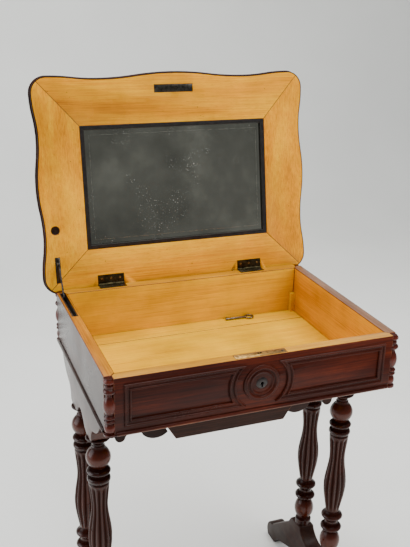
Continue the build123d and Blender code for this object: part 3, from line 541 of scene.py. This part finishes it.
# Case floor: a wide blond board and a narrow one at the back, nailed up with an open joint between
# them. The posts in the corners, glued to the walls, once carried a tray.
def blocks(name, corners):
    """Squared blocks in one mesh, each between a lowest and a highest corner."""
    unit = np.array([(0, 0, 0), (1, 0, 0), (1, 1, 0), (0, 1, 0), (0, 0, 1), (1, 0, 1), (1, 1, 1), (0, 1, 1)])
    sides = np.array([(0, 3, 2, 1), (4, 5, 6, 7), (0, 1, 5, 4), (1, 2, 6, 5), (2, 3, 7, 6), (3, 0, 4, 7)])
    spots, faces = [], []
    for count, (low, high) in enumerate(corners):
        low, high = np.array(low), np.array(high)
        spots += (low + unit * (high - low)).tolist()
        faces += (sides + 8 * count).tolist()
    mesh = bpy.data.meshes.new(name)
    mesh.from_pydata(spots, [], faces)
    mesh.polygons.foreach_set("use_smooth", np.ones(len(faces), bool))
    return bpy.data.objects.new(name, mesh)


floor_low, floor_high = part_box("case_floor")
back_board, half_gap = 0.046, 0.0002
joint = floor_high.y - back_board
floor_boards = blocks("floor_planks", [
    (floor_low, (floor_high.x, joint - half_gap, floor_high.z)),
    ((floor_low.x, joint + half_gap, floor_low.z), floor_high)])
finish_piece(floor_boards, [satin_x, worn_edge], "table", "lining_wood", "case_floor")
rounded(floor_boards, 0.0008, 2, edge_paint=1)
softened("tray_corner_posts", 0.0007, [satin_y], "table", "lining_wood", "tray_posts")

# Base beads: half round mahogany strips glued along the foot of each wall, rubbed through to a
# brighter brown underneath.
for wall, paint in (("front", mahogany_x), ("back", mahogany_x), ("left", mahogany_y), ("right", mahogany_y)):
    softened("foot_bead_" + wall, 0.0004, [paint, worn_edge], "table", "mahogany", "base_bead_" + wall,
             lambda centres, normals: np.where(normals[:, 2] < -0.2, 1, 0))

# Corner balusters: slim mahogany turnings let into a notch at each corner of the case and glued, their
# necks painted dark as shade and their swells painted red as rubbed wear and sheen.
baluster_rows = [(6.4, 103.2, 0), (7.3, 102.0, 0.2), (7.4, 93.2, 2.7), (6.2, 92.0, 0), (7.6, 90.8, 0.3),
                 (7.6, 85.2, 0.4), (8.6, 84.4, 0), (9.0, 75.8, 2.4), (7.0, 74.6, 0), (7.0, 69.4, -0.7),
                 (7.0, 38.6, 4.3), (8.8, 36.4, 0), (8.8, 30.6, 1.9), (8.2, 30.0, 0), (8.8, 29.4, 0),
                 (8.8, 24.2, 1.9), (7.0, 23.0, 0), (7.2, 4.6, 3.1), (10.6, 3.4, 0), (11.0, 2.6, 0.2),
                 (11.0, 0.0, 0)]
baluster_line = profile(baluster_rows)
baluster_points = spun(baluster_line, 64)
# The swells get the share of rubbed wear and painted sheen.
baluster_wear_and_sheen = wear_and_sheen_bands(baluster_line[:, 1], ((0.038, 0.070), (0.004, 0.023), (0.092, 0.103)))
baluster_wood = wood("baluster_mahogany", [(0.28, tint(32, 9, 5)), (0.46, tint(60, 18, 9)),
                     (0.62, tint(92, 30, 14)), (0.78, tint(126, 48, 22))], along_z, rough=0.24, coat=0.2,
                     depth=0.1, gleam=0.3, turned=tint(92, 28, 8))
post_x, post_y, case_foot = 0.2617, 0.1907, 0.612
for end, back in (("front", -1), ("back", 1)):
    for hand, right in (("left", -1), ("right", 1)):
        post = surface("turned_baluster_" + end + "_" + hand,
                       baluster_points + np.array([right * post_x, middle_y + back * post_y, case_foot]))
        # Its necks get the share of painted shade.
        tone_turning(post, baluster_points, narrow(baluster_line, 0.004), baluster_wear_and_sheen)
        finish_piece(post, [baluster_wood], "table", "mahogany", "corner_baluster_" + end + "_" + hand)

# Front frames: a mahogany moulding with two beads, mitred round each of the front's two panels and
# glued on, with a curved side about the roundel.
front_y, roundel_z = -1000 * case_half_depth, 667


def frame_line(margin, steps=24):
    """The right frame's outline drawn in by a margin: three straight sides, and an arc about the
    roundel that meets them where the side's height is the arc's radius times its sine."""
    right, top, low, radius = 240.5 - margin, 704 - margin, 627.5 + margin, 48 + margin
    up, down = top - roundel_z, roundel_z - low
    first = (math.sqrt(radius**2 - up**2), top)
    last = (math.sqrt(radius**2 - down**2), low)
    share = np.linspace(0, 1, steps, endpoint=False)[:, None]
    ends = [np.array(p) for p in (first, (right, top), (right, low), last)]
    straight = [ends[i] + (ends[i + 1] - ends[i]) * share for i in range(3)]
    angle = -math.asin(down / radius) + (math.asin(up / radius) + math.asin(down / radius)) * share
    arc = np.hstack([radius * np.cos(angle), roundel_z + radius * np.sin(angle)])
    return np.vstack(straight + [arc])


def stacked(outline, rows):
    """A grid of points: for each row, the outline drawn in by its inset and lifted to its height."""
    lines = [(outline(inset), height) for inset, height in rows]
    return np.array([np.column_stack([line, np.full(len(line), height)]) for line, height in lines])


def faceted(piece):
    """Shows every face of a piece flat."""
    piece.data.polygons.foreach_set("use_smooth", np.zeros(len(piece.data.polygons), bool))
    return piece


bead_rows = [(0.0, 0.0), (0.0, 2.9), (0.5, 3.8), (1.4, 4.4), (2.2, 4.4), (3.1, 3.9), (3.8, 2.9), (4.1, 1.9),
             (5.0, 1.6), (6.0, 1.5), (7.0, 1.6), (7.9, 1.9), (8.2, 2.9), (8.9, 3.9), (9.8, 4.4), (10.6, 4.4),
             (11.5, 3.8), (12.0, 2.9), (12.0, 0.0)]
frame_points = stacked(frame_line, bead_rows)[..., [0, 2, 1]] * np.array([1, -1, 1])
frame_points += np.array([0, front_y, 0])
moulding_wood = wood("moulding_mahogany", [(0.28, tint(30, 10, 6)), (0.46, tint(54, 19, 10)),
                     (0.62, tint(78, 30, 16)), (0.78, tint(112, 52, 28))], along_x, rough=0.3, coat=0.08,
                     depth=0.12, gleam=0.14)
for hand, mirror_x in (("left", -1), ("right", 1)):
    spots = frame_points * np.array([mirror_x, 1, 1]) / 1000 + np.array([0, middle_y, 0])
    strip = faceted(surface("panel_moulding_" + hand, spots, wrap_rows=True))
    finish_piece(strip, [moulding_wood], "table", "mahogany", "front_frame_" + hand)

# Roundel and escutcheon: a turned mahogany ring and disc glued to the front, with a boss of dark horn
# let in round the keyhole.
ring_rows = [(8.6, 0.0), (8.6, 2.0), (12.0, 2.0), (16.0, 1.7), (18.4, 1.6), (18.9, 2.6), (19.7, 3.3),
             (20.6, 3.5), (21.5, 3.2), (22.2, 2.4), (22.7, 1.4), (24.6, 1.2), (25.4, 2.2), (26.2, 3.6),
             (27.4, 4.4), (28.8, 4.4), (30.0, 3.6), (30.6, 2.7), (31.3, 2.8), (32.3, 2.9), (33.1, 2.2),
             (33.5, 1.1), (33.5, 0.0)]
ring_points = spun(np.array(ring_rows) / 1000, 96)[..., [0, 2, 1]] * np.array([1, -1, 1])
ring_spots = ring_points + np.array([0, middle_y + front_y / 1000, roundel_z / 1000])
finish_piece(surface("turned_roundel", ring_spots, wrap_rows=True), [moulding_wood], "table", "mahogany",
             "front_roundel")

turn = np.linspace(0, 2 * np.pi, 96, endpoint=False)
slot_reach = np.where(np.sin(turn) < 0, np.minimum(1.2 / np.maximum(np.abs(np.cos(turn)), 1e-3),
                      7.2 / np.maximum(-np.sin(turn), 1e-3)), 0.0)
hole = np.maximum(2.6, slot_reach)
boss_rows = []
for share, height in ((0.0, -4.0), (0.0, 3.4), (0.06, 3.9), (0.25, 3.95), (0.5, 3.8), (0.72, 3.4),
                      (0.88, 2.9), (0.97, 2.3), (1.0, 2.0), (1.0, 1.2)):
    reach = hole + (10.4 - hole) * share
    boss_rows.append(np.stack([reach * np.cos(turn), np.full(96, front_y - height),
                               roundel_z + reach * np.sin(turn)], -1))
dark_horn = mottled("escutcheon_horn", 260.0, 5.0, [(0.35, tint(16, 12, 12)), (0.7, tint(46, 34, 30))],
                    (0.25, 0.5))
boss_points = np.array(boss_rows) / 1000 + np.array([0, middle_y, 0])
finish_piece(surface("keyhole_boss", boss_points, wrap_rows=True), [dark_horn], "table", "dark_escutcheon",
             "keyhole_escutcheon")

# Lock: a brass plate let into the rim over an iron box with the bolt inside, held by small iron
# screws.
def metal(name, dark, light, rough):
    """A worn metal: two tones in fine cloudy patches, duller where it is dark, with light scratches."""
    made, tree, shader, place = new_material(name)
    cloud = cloudy(tree, place, 140.0, Detail=6.0, Roughness=0.65)
    dull = remap(tree, cloud, From_Min=0.3, From_Max=0.7, To_Min=rough + 0.15, To_Max=rough - 0.05)
    tones = ramp(tree, cloud, [(0.35, dark), (0.68, light)])
    fill(tree, shader, Base_Color=tones, Roughness=dull, Metallic=1.0)
    lines = add(tree, "Mapping", Vector=place, Scale=(200.0, 2600.0, 1400.0))
    scratch = add(tree, "TexNoise", Vector=lines.outputs[0], Scale=1.0, Detail=2.0)
    bump = add(tree, "Bump", Strength=0.2, Distance=0.0002, Height=scratch.outputs["Fac"])
    tree.links.new(bump.outputs[0], shader.inputs["Normal"])
    return made


old_brass = metal("old_brass", tint(118, 88, 44), tint(176, 140, 82), 0.38)
iron = metal("old_iron", tint(40, 38, 37), tint(104, 102, 100), 0.42)
bronze = metal("dark_bronze", tint(40, 36, 24), tint(84, 76, 52), 0.42)
strike_metal = metal("strike_bronze", tint(46, 44, 40), tint(84, 80, 72), 0.42)
softened("rim_lock_plate", 0.0003, [old_brass], "table", "lock_brass", "lock_plate", segments=2)
softened("lock_box", 0.0004, [iron], "table", "steel", "lock_case", segments=2)
softened("lock_bolt_bar", 0.0003, [iron], "bolt", "steel", "lock_bolt", segments=2)


def screw(name, spot, facing, slot_turn, paint, body, slot, radius=2.3):
    """A slotted countersunk head in millimetres: a square grid drawn out to a disc, lifted as one less
    the square of the distance from its middle, with its slot cut by a dip in that height."""
    count = 25
    steps = np.linspace(-1, 1, count)
    grid_u, grid_v = np.meshgrid(steps, steps, indexing="ij")
    reach = np.maximum(np.abs(grid_u), np.abs(grid_v))
    round_u = grid_u * np.sqrt(1 - 0.5 * grid_v**2)
    round_v = grid_v * np.sqrt(1 - 0.5 * grid_u**2)
    away = np.abs(round_u * math.sin(slot_turn) - round_v * math.cos(slot_turn))
    dip = 0.3 * np.clip((0.2 - away) / 0.06, 0, 1)
    height = (0.06 + 0.12 * (1 - reach**2) - dip) * 0.001
    normal = Vector(facing).normalized()
    beside = normal.orthogonal().normalized()
    plane = [np.array(v) for v in (beside, normal.cross(beside), normal)]
    flat = (np.array(spot) + round_u[..., None] * radius * plane[0] / 1000
            + round_v[..., None] * radius * plane[1] / 1000)
    top = flat + height[..., None] * plane[2]
    base = flat - 0.0006 * plane[2]
    index = np.arange(count * count).reshape(count, count)
    upper = np.stack([index[:-1, :-1], index[1:, :-1], index[1:, 1:], index[:-1, 1:]], -1).reshape(-1, 4)
    rim = np.concatenate([index[0, :-1], index[:-1, -1], index[-1, :0:-1], index[:0:-1, 0]])
    skirt = np.stack([rim, np.roll(rim, -1), np.roll(rim, -1) + count**2, rim + count**2], -1)
    faces = upper.tolist() + skirt.tolist() + [(rim + count**2).tolist()[::-1]]
    mesh = bpy.data.meshes.new(name)
    mesh.from_pydata(np.vstack([top.reshape(-1, 3), base.reshape(-1, 3)]).tolist(), [], faces)
    work = bmesh.new()
    work.from_mesh(mesh)
    bmesh.ops.delete(work, geom=[v for v in work.verts if not v.link_faces], context="VERTS")
    bmesh.ops.recalc_face_normals(work, faces=work.faces)
    work.to_mesh(mesh)
    work.free()
    mesh.polygons.foreach_set("use_smooth", np.ones(len(mesh.polygons), bool))
    return finish_piece(bpy.data.objects.new(name, mesh), [paint], body, slot)


rim_top = 0.716
for number, screw_x in enumerate((-0.041, 0.041)):
    screw("lock_screw_" + str(number), (screw_x, middle_y - 0.189, rim_top), (0, 0, 1), 0.6 + number, iron,
          "table", "lock_brass")

# Hinges: two bronze butts with three screws in each leaf, let into the back wall's rim and the lid,
# their barrels behind the case.
pin_back, pin_height = 0.2024, 0.7162
hinge_point = np.array([0.0, middle_y + pin_back, pin_height])
open_turn = math.radians(-100.4)


def opened(points):
    """Points of the shut lid, in millimetres over the case's middle, turned about the hinge pins to
    where the lid stands: y and z by the cosine and sine of the opening turn."""
    points = np.asarray(points, float) / 1000 + np.array([0, middle_y, 0]) - hinge_point
    y, z = points[..., 1].copy(), points[..., 2].copy()
    points[..., 1] = y * math.cos(open_turn) - z * math.sin(open_turn)
    points[..., 2] = y * math.sin(open_turn) + z * math.cos(open_turn)
    return points + hinge_point


lid_down, lid_under = (0.0, math.sin(open_turn), -math.cos(open_turn)), 716.4
softened("case_hinge_leaves", 0.0003, [bronze], "table", "bronze", "hinge_leaves_case", segments=2)
softened("lid_hinge_leaves", 0.0003, [bronze], "lid", "bronze", "hinge_leaves_lid", segments=2)
softened("hinge_pin_rods", 0.0002, [iron], "table", "bronze", "hinge_pins", segments=2)
screw_back = 190.5
for hand, centre in (("left", -154.0), ("right", 153.0)):
    for number, along in enumerate((-19.0, 0.0, 19.0)):
        spot = ((centre + along) / 1000, middle_y + screw_back / 1000, rim_top)
        screw("case_hinge_screw_" + hand + str(number), spot, (0, 0, 1), 0.4 + 0.9 * number, iron, "table",
              "bronze")
        spot = opened([centre + along, screw_back, lid_under])
        screw("lid_hinge_screw_" + hand + str(number), tuple(spot), lid_down, 1.1 + 0.7 * number, old_brass,
              "lid", "bronze")

# Lid stay: an iron channel let into the left rim, a plate screwed to the lid and the arm between
# them, which turns on the plate's rivet and has its pin in the channel.
softened("stay_slot_channel", 0.0003, [iron], "table", "steel", "stay_channel", segments=2)
softened("stay_lid_plate", 0.0003, [strike_metal], "lid", "steel", "stay_bracket", segments=2)
softened("stay_arm_bar", 0.0003, [iron], "stay", "steel", "stay_arm", segments=2)

# Lid: a mahogany board with a moulded edge, its outline sawn in shallow waves with rounded corners.
# Its outer face is polished and its edge is darker.
def arc_points(first, middle, last, count):
    """Points along the arc through three points, without the last one. Its centre is as far from each
    of the three, and the points are at the radius times the cosine and sine of equal steps of turn."""
    (ax, ay), (bx, by), (cx, cy) = first, middle, last
    cross = 2 * (ax * (by - cy) + bx * (cy - ay) + cx * (ay - by))
    sa, sb, sc = ax * ax + ay * ay, bx * bx + by * by, cx * cx + cy * cy
    ox = (sa * (by - cy) + sb * (cy - ay) + sc * (ay - by)) / cross
    oy = (sa * (cx - bx) + sb * (ax - cx) + sc * (bx - ax)) / cross
    a0, a1, a2 = (math.atan2(y - oy, x - ox) for x, y in (first, middle, last))
    if (a2 - a0) % (2 * math.pi) < (a1 - a0) % (2 * math.pi):
        sweep_angle = -((a0 - a2) % (2 * math.pi))
    else:
        sweep_angle = (a2 - a0) % (2 * math.pi)
    angle = a0 + sweep_angle * np.linspace(0, 1, count, endpoint=False)
    radius = math.hypot(ax - ox, ay - oy)
    return np.column_stack([ox + radius * np.cos(angle), oy + radius * np.sin(angle)])


def wave(start, end, along_x):
    """Two equal arcs from crest to hollow, level with the side at both ends."""
    middle = ((start[0] + end[0]) / 2, (start[1] + end[1]) / 2)
    run = (middle[0] - start[0]) if along_x else (middle[1] - start[1])
    rise = (middle[1] - start[1]) if along_x else (middle[0] - start[0])
    radius = (run**2 + rise**2) / (2 * abs(rise))
    dip = (radius - math.sqrt(radius**2 - (run / 2) ** 2)) * (1 if rise > 0 else -1)
    step = (run / 2, dip) if along_x else (dip, run / 2)
    near = (start[0] + step[0], start[1] + step[1])
    far = (end[0] - step[0], end[1] - step[1])
    return [arc_points(start, near, middle, 10), arc_points(middle, far, end, 10)]


def lid_line(inset):
    """The lid's outline drawn in by an inset, all the way round from the middle of the back edge."""
    x, y, r = 290.5 - inset, 218.0 - inset, 34.5 - inset
    lobe, hollow = (x - r, y - 3.5), (x * 0.535, y - 10.0)
    corner = (x, y - 3.5 - r)
    waist = (x - 7.5, corner[1] * 0.535)
    diagonal = r * (1 - math.sqrt(0.5))
    quarter = wave((0, y), hollow, True) + wave(hollow, lobe, True)
    quarter.append(arc_points(lobe, (x - diagonal, lobe[1] - diagonal), corner, 14))
    quarter += wave(corner, waist, False) + wave(waist, (x, 0), False)
    quarter = np.vstack(quarter + [np.array([(x, 0.0)])])
    lower = quarter[-2::-1] * np.array([1, -1])
    right = np.vstack([quarter, lower])
    left = right[-2:0:-1] * np.array([-1, 1])
    return np.vstack([right, left])


edge_rows = [(3.0, 724.45), (0.9, 724.45), (0.15, 725.2), (0.0, 726.2), (0.0, 728.6), (0.3, 729.6),
             (1.0, 730.2), (1.9, 730.4), (2.4, 731.0), (2.7, 732.2), (3.4, 733.8), (4.7, 735.2),
             (6.4, 736.0), (8.4, 736.35), (12.0, 736.4)]
lid_points = stacked(lid_line, edge_rows)
lid_wood = wood("lid_mahogany", [(0.28, tint(52, 20, 14)), (0.46, tint(88, 38, 24)),
                (0.62, tint(112, 50, 26)), (0.78, tint(142, 72, 38))], along_x, rough=0.28, coat=0.2,
                depth=0.12)
lid_edge = wood("lid_edge_mahogany", [(0.28, tint(20, 6, 3)), (0.5, tint(44, 16, 8)),
                (0.72, tint(84, 38, 18))], along_x, rough=0.4, coat=0.05, depth=0.1)
lid_board = surface("lid_moulded_top", opened(lid_points))
finish_piece(lid_board, [lid_wood, lid_edge], "lid", "mahogany", "lid_top")
edge_faces = np.zeros(len(lid_board.data.polygons), np.int32)
dark_rows = 5
edge_faces[:dark_rows * lid_points.shape[1]] = 1
lid_board.data.polygons.foreach_set("material_index", edge_faces)

# Lid lining: four blond satinwood boards mitred round the mirror and glued to the lid, with a dark
# line along every joint, stained edges, and a round recess that clears the stay's pin, painted dark inside as
# shade.
joint_line = mottled("joint_line", 90.0, 5.0, [(0.35, tint(58, 28, 14)), (0.7, tint(120, 66, 28))], 0.6)
lining_stops = [(0.28, tint(176, 100, 4)), (0.45, tint(228, 150, 6)), (0.60, tint(246, 178, 14)),
                (0.76, tint(255, 208, 44))]
lining_x = wood("lid_satinwood_across", lining_stops, along_x, rough=0.3, coat=0.3, depth=0.12, fleck=0.5,
                specks=0.8)
lining_z = wood("lid_satinwood_upright", lining_stops, along_z, rough=0.3, coat=0.3, depth=0.12, fleck=0.5,
                specks=0.8)
# The round recess is painted dark as shade.
recess_shade = mottled("recess_shade", 220.0, 4.0, [(0.35, tint(16, 9, 5)), (0.7, tint(58, 32, 14))], 0.8)
recess_spot, recess_radius = opened([-260.0, 84.4, 719.0]), 0.0100


def board_faces(centres, normals):
    """Gives 2 in the round recess, which is painted dark as shade, 3 on the boards' stained edges and 0
    elsewhere.
    """
    edge = np.abs(normals @ np.array(lid_down)) < 0.3
    recess = np.linalg.norm(centres - recess_spot, axis=1) < recess_radius
    return np.where(recess, 2, np.where(edge, 3, 0))


for board, paint in (("front", lining_x), ("back", lining_x), ("left", lining_z), ("right", lining_z)):
    softened("lining_board_" + board, 0.0006, [paint, joint_line, recess_shade, lid_edge], "lid",
             "lining_wood", "lid_lining_" + board, board_faces, edge_paint=1, segments=2)
softened("lid_strike_plate", 0.0003, [strike_metal], "lid", "lock_brass", "strike_plate", segments=2)
for number, screw_x in enumerate((-35.0, 35.0)):
    screw("strike_screw_" + str(number), tuple(opened([screw_x, -184.0, lid_under])), lid_down, 0.3 + number,
          iron, "lid", "lock_brass")

# A dark string is let in round the boards, just inside the lid's edge.
string_rows = [(2.56, 717.2), (2.5, 716.5), (2.8, 716.36), (4.5, 716.36), (4.7, 716.5), (4.7, 717.2)]
finish_piece(surface("lid_edge_stringing", opened(stacked(lid_line, string_rows)), wrap_rows=True),
             [lid_edge], "lid", "mahogany")

# Mirror: bevelled glass whose silvering has foxed and greyed, held in a slip frame of black stained
# wood over a thin pine backing board.
black_slip = mottled("black_slip", 180.0, 5.0, [(0.35, tint(14, 12, 12)), (0.72, tint(38, 32, 30))],
                     (0.22, 0.5))
softened("ebonised_slip", 0.0006, [black_slip], "lid", "black_slip", "mirror_slip", segments=3)

old_mirror, tree, shader, place = new_material("old_mirror")
veil = cloudy(tree, place, 9.0, Detail=7.0, Roughness=0.62)
silver = ramp(tree, veil, [(0.32, tint(104, 104, 92)), (0.55, tint(134, 134, 120)),
                           (0.75, tint(168, 168, 152))])
speck = remap(tree, cloudy(tree, place, 420.0, Detail=3.0, Roughness=0.7), From_Min=0.63, From_Max=0.69)
rash = remap(tree, cloudy(tree, place, 14.0, Detail=3.0), From_Min=0.48, From_Max=0.66)
spots = product(tree, speck, rash)
fill(tree, shader, Base_Color=blend(tree, spots, silver, tint(190, 192, 190)),
     Roughness=remap(tree, spots, To_Min=0.05, To_Max=0.5),
     Metallic=remap(tree, spots, To_Min=0.95, To_Max=0.1), Coat_Weight=1.0, Coat_Roughness=0.03)
lost_silver, tree, shader, place = new_material("mirror_lost_silvering")
peel = cloudy(tree, place, 130.0, Detail=6.0, Roughness=0.7)
fill(tree, shader, Base_Color=ramp(tree, peel, [(0.42, tint(40, 38, 34)), (0.52, tint(176, 176, 162)),
                                                (0.7, tint(206, 206, 194))]),
     Roughness=remap(tree, peel, To_Min=0.5, To_Max=0.1),
     Metallic=remap(tree, peel, From_Min=0.45, From_Max=0.6, To_Min=0.2, To_Max=0.85))
mirror_half_x, mirror_half_y, slip_width, mirror_y = 197.8, 122.1, 4.0, 6.0


def glass_line(inset, steps=12):
    """A rectangle within the slip frame, drawn in by an inset, with equal steps along each side."""
    half_x, half_y = mirror_half_x - slip_width - inset, mirror_half_y - slip_width - inset
    corners = np.array([(half_x, half_y), (half_x, -half_y), (-half_x, -half_y), (-half_x, half_y)])
    share = np.linspace(0, 1, steps, endpoint=False)[:, None]
    line = np.vstack([corners[i] + (corners[(i + 1) % 4] - corners[i]) * share for i in range(4)])
    return line + np.array([0, mirror_y])


glass_rows = [(0.3, 723.1), (0.3, 721.9), (0.5, 721.6), (14.0, 720.85), (14.2, 720.8), (15.5, 720.8)]
glass_points = stacked(glass_line, glass_rows)
glass = faceted(surface("bevelled_glass", opened(glass_points)))
finish_piece(glass, [old_mirror, lost_silver], "lid", "mirror", "mirror_glass")
glass_faces = np.zeros(len(glass.data.polygons), np.int32)
for row in (1, 3):
    glass_faces[row * glass_points.shape[1]:(row + 1) * glass_points.shape[1]] = 1
glass.data.polygons.foreach_set("material_index", glass_faces)
backing = wood("backing_pine", [(0.28, tint(110, 84, 54)), (0.5, tint(150, 120, 82)),
               (0.72, tint(182, 152, 108))], along_x, rough=0.7, coat=0.0)
softened("mirror_backing_board", 0.0003, [backing], "lid", "backing_board", "mirror_backing", segments=2)

# Key: a barrel key of filed grey steel, which fits the lock and lies loose on the case floor near the
# back.
key_steel = metal("key_steel", tint(84, 78, 68), tint(170, 162, 146), 0.3)
softened("barrel_key", 0.0009, [key_steel], "key", "steel", "case_key", segments=3)
